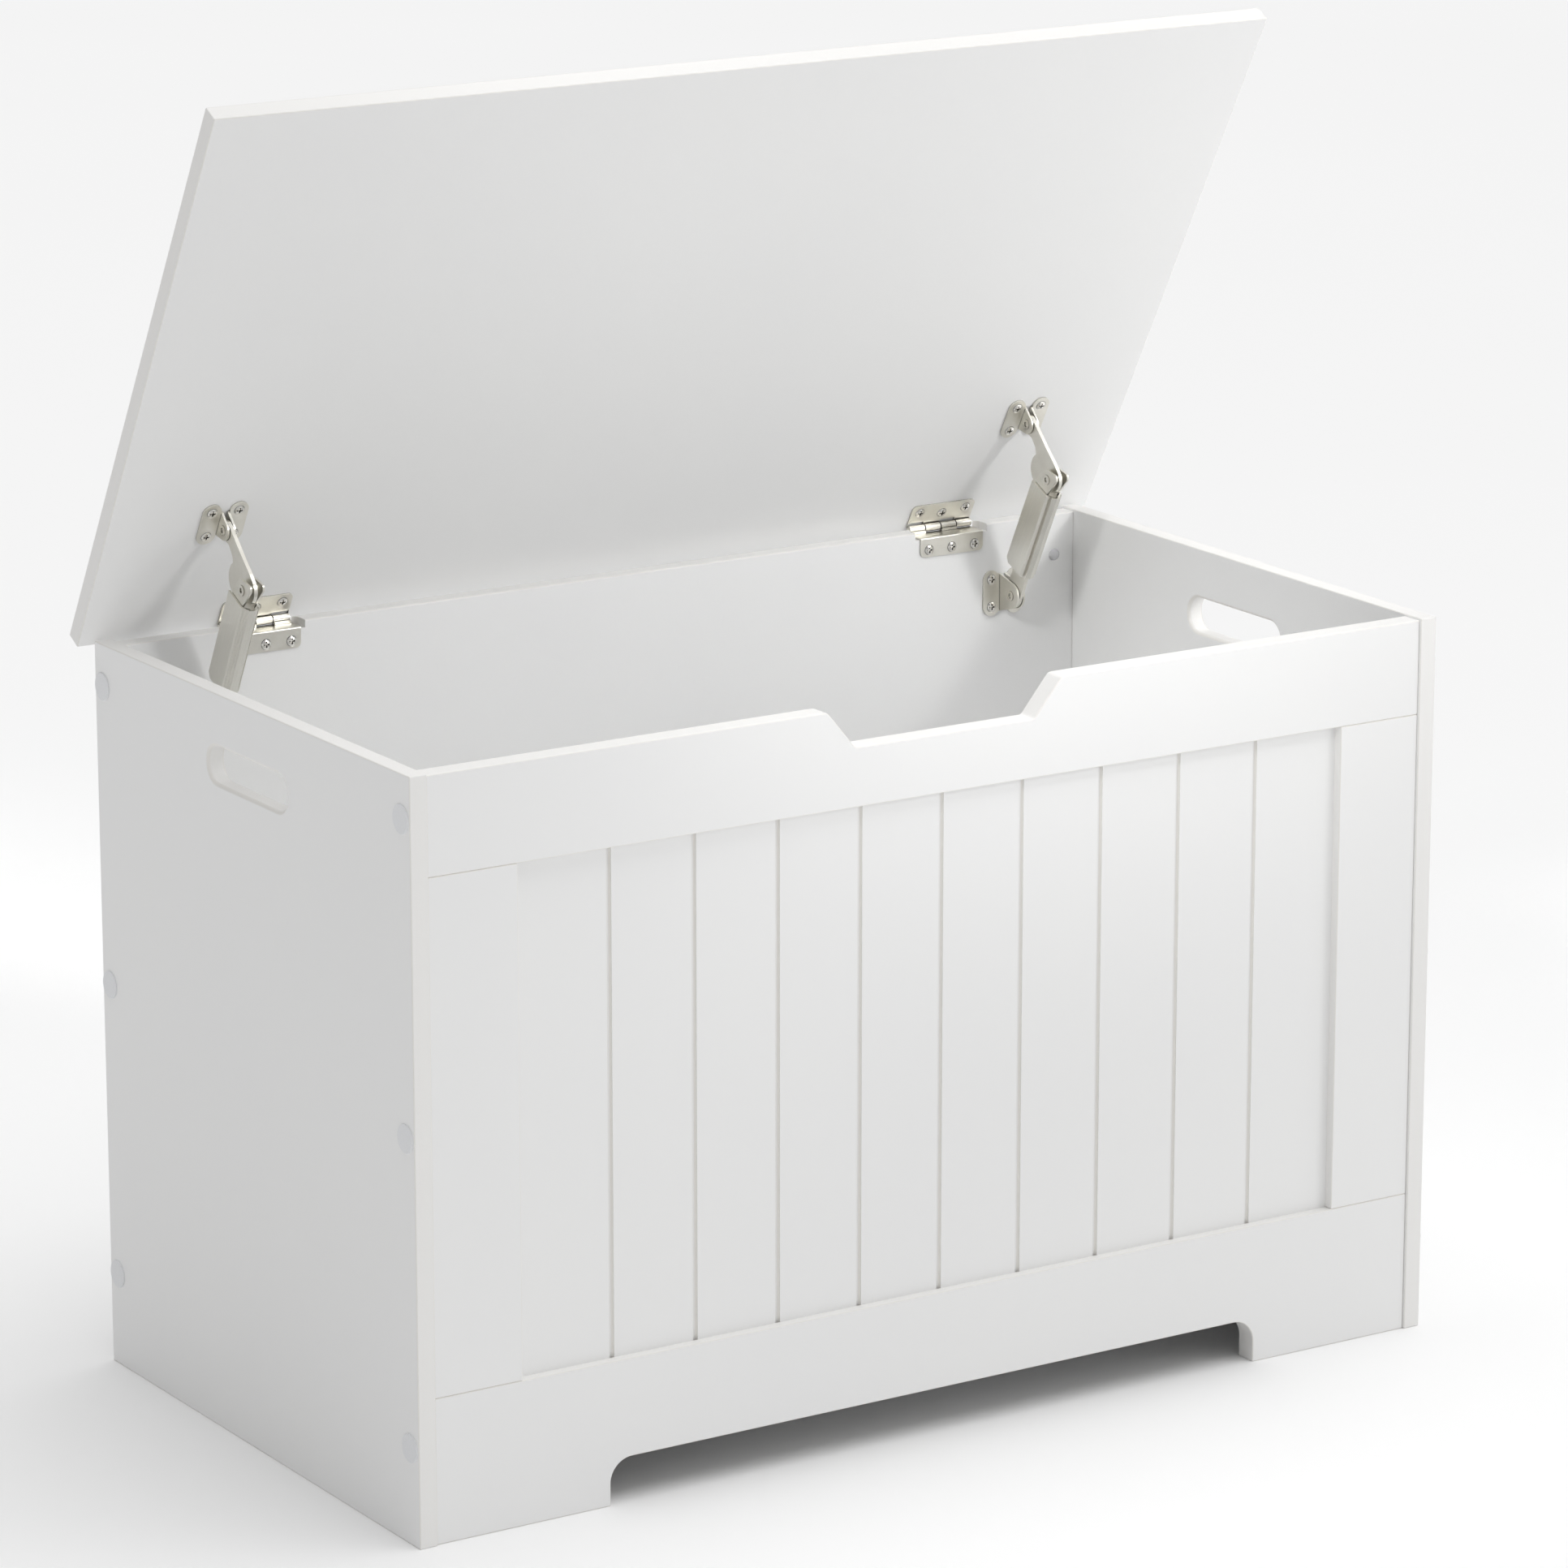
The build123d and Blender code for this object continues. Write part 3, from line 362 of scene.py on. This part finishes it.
def extruded_aluminium(name, wall_pivot, elbow):
    """Satin anodised extrusion: pale warm grey with die lines running along the channel."""
    material, tree, shader = new_material(name, Metallic=1.0, Anisotropic=0.35)
    run = elbow - wall_pivot
    tilt = math.atan2(run.y, run.z)
    place = add(tree, "TexCoord", {}, {})
    upright = add(tree, "Mapping", {"vector_type": "POINT", "Rotation": (tilt, 0.0, 0.0)},
                  {"Vector": place.outputs["Object"]})
    drawn = add(tree, "Mapping", {"Scale": (1.0, 1.0, ARM_LENGTHWISE)},
                {"Vector": upright.outputs["Vector"]})
    lines = add(tree, "TexNoise", {"Scale": per_metre(DIE_LINE_MM), "Detail": 3.0},
                {"Vector": drawn.outputs["Vector"]})
    colour = add(tree, "Mix", {"data_type": "RGBA", 6: linear("#E2E0D8"), 7: linear("#F3F1EA")},
                 {0: lines.outputs["Fac"]})
    gloss = add(tree, "MapRange", {"To Min": 0.30, "To Max": 0.44},
                {"Value": lines.outputs["Fac"]})
    relief = add(tree, "Bump", {"Strength": 0.25, "Distance": 0.0001},
                 {"Height": lines.outputs["Fac"]})
    tree.links.new(colour.outputs[2], shader.inputs["Base Color"])
    tree.links.new(gloss.outputs["Result"], shader.inputs["Roughness"])
    tree.links.new(relief.outputs["Normal"], shader.inputs["Normal"])
    return material


housing_finish = extruded_aluminium("anodised_extruded_aluminium", pivots["right_stay_wall_pivot"],
                                    pivots["right_stay_elbow"])
for side in ("left", "right"):
    finish_with(parts[side + "_stay_housing"], housing_finish)


# ------------------------------------------------------------------ stay springs and followers
# Inside each housing a compression spring of oiled music wire, with closed and ground ends,
# pushes a black acetal block against the upper arm's cam. Seen from behind, where it is open.
SPRING_FROM = 0.0345
SPRING_LENGTH = 0.030
SPRING_OFF_CENTRE = 0.002
COIL_RADIUS = 0.00265
WIRE_RADIUS = 0.00045
LIVE_TURNS = 10
CLOSED_TURNS = 1.0
STEPS_PER_TURN = 28
WIRE_SIDES = 10


def coil_height(turn):
    """How far along the spring the wire's centre is after so many turns."""
    closed_pitch = 2.0 * WIRE_RADIUS
    closed = CLOSED_TURNS * closed_pitch
    live_pitch = (SPRING_LENGTH - 2.0 * WIRE_RADIUS - 2.0 * closed) / LIVE_TURNS
    height = WIRE_RADIUS + min(turn, CLOSED_TURNS) * closed_pitch
    height += min(max(turn - CLOSED_TURNS, 0.0), LIVE_TURNS) * live_pitch
    return height + max(turn - CLOSED_TURNS - LIVE_TURNS, 0.0) * closed_pitch


def coil_mesh(name):
    """A round wire wound into a coil that stands on z = 0, capped at both ends."""
    turns = LIVE_TURNS + 2.0 * CLOSED_TURNS
    steps = int(turns * STEPS_PER_TURN)
    corners = []
    for step in range(steps + 1):
        turn = turns * step / steps
        angle = 2.0 * math.pi * turn
        outward = Vector((math.cos(angle), math.sin(angle), 0.0))
        centre = outward * COIL_RADIUS + Vector((0.0, 0.0, coil_height(turn)))
        for side_number in range(WIRE_SIDES):
            around = 2.0 * math.pi * side_number / WIRE_SIDES
            offset = outward * math.cos(around) + Vector((0.0, 0.0, math.sin(around)))
            corners.append(centre + offset * WIRE_RADIUS)
    faces = []
    for step in range(steps):
        for side_number in range(WIRE_SIDES):
            here = step * WIRE_SIDES + side_number
            beside = step * WIRE_SIDES + (side_number + 1) % WIRE_SIDES
            faces.append((here, beside, beside + WIRE_SIDES, here + WIRE_SIDES))
    faces.append(tuple(reversed(range(WIRE_SIDES))))
    faces.append(tuple(range(steps * WIRE_SIDES, (steps + 1) * WIRE_SIDES)))
    mesh = bpy.data.meshes.new(name)
    mesh.from_pydata(corners, [], faces)
    mesh.shade_smooth()
    return mesh


def music_wire():
    """Oiled spring wire: dark blue-grey steel with a thin film of oil and drawing lines."""
    material, tree, shader = new_material("oiled_music_wire", Metallic=1.0, Coat_Weight=0.3,
                                          Coat_Roughness=0.2)
    place = add(tree, "TexCoord", {}, {})
    film = add(tree, "TexNoise", {"Scale": per_metre(2.0), "Detail": 3.0},
               {"Vector": place.outputs["Object"]})
    colour = add(tree, "Mix", {"data_type": "RGBA", 6: linear("#55585C"), 7: linear("#84878A")},
                 {0: film.outputs["Fac"]})
    gloss = add(tree, "MapRange", {"To Min": 0.25, "To Max": 0.4}, {"Value": film.outputs["Fac"]})
    relief = add(tree, "Bump", {"Strength": 0.1, "Distance": 0.0001},
                 {"Height": film.outputs["Fac"]})
    tree.links.new(colour.outputs[2], shader.inputs["Base Color"])
    tree.links.new(gloss.outputs["Result"], shader.inputs["Roughness"])
    tree.links.new(relief.outputs["Normal"], shader.inputs["Normal"])
    return material


def moulded_acetal():
    """Black acetal, injection moulded: waxy and even, with a faint spark-eroded grain."""
    material, tree, shader = new_material("moulded_black_acetal", IOR=1.48)
    place = add(tree, "TexCoord", {}, {})
    grain = add(tree, "TexNoise", {"Scale": per_metre(0.4), "Detail": 3.0},
                {"Vector": place.outputs["Object"]})
    colour = add(tree, "Mix", {"data_type": "RGBA", 6: linear("#17181A"), 7: linear("#26272A")},
                 {0: grain.outputs["Fac"]})
    gloss = add(tree, "MapRange", {"To Min": 0.36, "To Max": 0.5}, {"Value": grain.outputs["Fac"]})
    relief = add(tree, "Bump", {"Strength": 0.15, "Distance": 0.0001},
                 {"Height": grain.outputs["Fac"]})
    tree.links.new(colour.outputs[2], shader.inputs["Base Color"])
    tree.links.new(gloss.outputs["Result"], shader.inputs["Roughness"])
    tree.links.new(relief.outputs["Normal"], shader.inputs["Normal"])
    return material


wire = music_wire()
acetal = moulded_acetal()
for side in ("left", "right"):
    wall_pivot = pivots[side + "_stay_wall_pivot"]
    along = (pivots[side + "_stay_elbow"] - wall_pivot).normalized()
    rearward = Vector((1.0, 0.0, 0.0)).cross(along) * -1.0
    foot = wall_pivot + along * SPRING_FROM + rearward * SPRING_OFF_CENTRE
    spring = bpy.data.objects.new(side + "_stay_coil_spring", coil_mesh(side + "_stay_coil"))
    upright = along.to_track_quat("Z", "X").to_matrix().to_4x4()
    spring.matrix_world = Matrix.Translation(foot) @ upright
    bpy.context.scene.collection.objects.link(spring)
    finish_with(spring, wire)
    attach(spring, side + "_lower_arm")
    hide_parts(side + "_stay_spring")
    finish_with(parts[side + "_stay_follower"], acetal)


# ------------------------------------------------------------------ floor, light and camera
# A plain pale studio floor under an even white sky, a soft overhead light, and a large soft
# light from the front right. Two narrow gridded lights lift the lid's underside and the inside.
FLOOR_SIZE = 60.0
FLOOR_WHITE = "#FCFCFC"
FLOOR_SHADE = "#FAFAFA"
SKY_STRENGTH = 0.38
OVERHEAD_STRENGTH = 1.85
OVERHEAD_ANGLE = math.radians(70.0)
TOWARD_OVERHEAD = Vector((0.20, -0.10, 1.0))
FRONT_LIGHT_PLACE = Vector((1.9, -1.9, 0.9))
FRONT_LIGHT_SIZE = 1.0
FRONT_LIGHT_WATTS = 6.0
LID_LIGHT_AIM = Vector((0.20, 0.12, 0.57))
LID_LIGHT_DIRECTION = Vector((0.40, -0.80, 0.42)).normalized()
LID_LIGHT_DISTANCE = 2.0
LID_LIGHT_SIZE = (0.95, 0.45)
LID_LIGHT_SPREAD = math.radians(16.0)
LID_LIGHT_WATTS = 0.48
CHEST_LIGHT_AIM = Vector((0.30, 0.02, 0.40))
CHEST_LIGHT_DIRECTION = Vector((-0.74, -0.42, 0.52)).normalized()
CHEST_LIGHT_DISTANCE = 2.0
CHEST_LIGHT_SIZE = (0.40, 0.30)
CHEST_LIGHT_SPREAD = math.radians(12.0)
CHEST_LIGHT_WATTS = 0.13
CAMERA_AIM = Vector((0.003, -0.018, 0.372))
CAMERA_DISTANCE = 4.2025
CAMERA_AZIMUTH = math.radians(-32.57)
CAMERA_ELEVATION = math.radians(14.71)
CAMERA_LENS_MM = 154.2
CAMERA_SENSOR_MM = 36.0


def pale_floor():
    """Painted studio floor: near white, dull, with very faint wide clouds."""
    material, tree, shader = new_material("painted_studio_floor", Roughness=0.9, IOR=1.45)
    place = add(tree, "TexCoord", {}, {})
    cloud = add(tree, "TexNoise", {"Scale": 1.2, "Detail": 2.0},
                {"Vector": place.outputs["Object"]})
    colour = add(tree, "Mix", {"data_type": "RGBA", 6: linear(FLOOR_SHADE), 7: linear(FLOOR_WHITE)},
                 {0: cloud.outputs["Fac"]})
    tree.links.new(colour.outputs[2], shader.inputs["Base Color"])
    return material


half_floor = FLOOR_SIZE / 2
floor_mesh = bpy.data.meshes.new("studio_floor")
floor_mesh.from_pydata([(-half_floor, -half_floor, 0), (half_floor, -half_floor, 0),
                        (half_floor, half_floor, 0), (-half_floor, half_floor, 0)],
                       [], [(0, 1, 2, 3)])
floor = bpy.data.objects.new("studio_floor", floor_mesh)
bpy.context.scene.collection.objects.link(floor)
finish_with(floor, pale_floor())

world = bpy.data.worlds.new("even_sky")
world.use_nodes = True
world.node_tree.nodes["Background"].inputs["Color"].default_value = (1.0, 1.0, 1.0, 1.0)
world.node_tree.nodes["Background"].inputs["Strength"].default_value = SKY_STRENGTH
bpy.context.scene.world = world

overhead = bpy.data.lights.new("overhead_light", "SUN")
overhead.energy = OVERHEAD_STRENGTH
overhead.angle = OVERHEAD_ANGLE
overhead_object = bpy.data.objects.new("overhead_light", overhead)
overhead_object.rotation_euler = TOWARD_OVERHEAD.to_track_quat("Z", "Y").to_euler()
bpy.context.scene.collection.objects.link(overhead_object)

front_light = bpy.data.lights.new("front_right_light", "AREA")
front_light.size = FRONT_LIGHT_SIZE
front_light.energy = FRONT_LIGHT_WATTS
front_object = bpy.data.objects.new("front_right_light", front_light)
front_object.location = FRONT_LIGHT_PLACE
front_object.rotation_euler = (FRONT_LIGHT_PLACE - CAMERA_AIM).to_track_quat("Z", "Y").to_euler()
bpy.context.scene.collection.objects.link(front_object)


def gridded_light(name, aim, direction, distance, size, spread, watts):
    """A softbox with a honeycomb grid, which lights only what it is aimed at."""
    light = bpy.data.lights.new(name, "AREA")
    light.shape = "RECTANGLE"
    light.size, light.size_y = size
    light.spread = spread
    light.energy = watts
    placed = bpy.data.objects.new(name, light)
    placed.location = aim + direction * distance
    placed.rotation_euler = direction.to_track_quat("Z", "Y").to_euler()
    bpy.context.scene.collection.objects.link(placed)


gridded_light("lid_light", LID_LIGHT_AIM, LID_LIGHT_DIRECTION, LID_LIGHT_DISTANCE,
              LID_LIGHT_SIZE, LID_LIGHT_SPREAD, LID_LIGHT_WATTS)
gridded_light("chest_light", CHEST_LIGHT_AIM, CHEST_LIGHT_DIRECTION, CHEST_LIGHT_DISTANCE,
              CHEST_LIGHT_SIZE, CHEST_LIGHT_SPREAD, CHEST_LIGHT_WATTS)

camera = bpy.data.cameras.new("camera")
camera.sensor_width = CAMERA_SENSOR_MM
camera.lens = CAMERA_LENS_MM
camera_object = bpy.data.objects.new("camera", camera)
backward = Vector((math.sin(CAMERA_AZIMUTH) * math.cos(CAMERA_ELEVATION),
                   -math.cos(CAMERA_AZIMUTH) * math.cos(CAMERA_ELEVATION),
                   math.sin(CAMERA_ELEVATION)))
camera_object.location = CAMERA_AIM + backward * CAMERA_DISTANCE
camera_object.rotation_euler = backward.to_track_quat("Z", "Y").to_euler()
bpy.context.scene.collection.objects.link(camera_object)
bpy.context.scene.camera = camera_object
bpy.context.scene.view_settings.view_transform = "Standard"
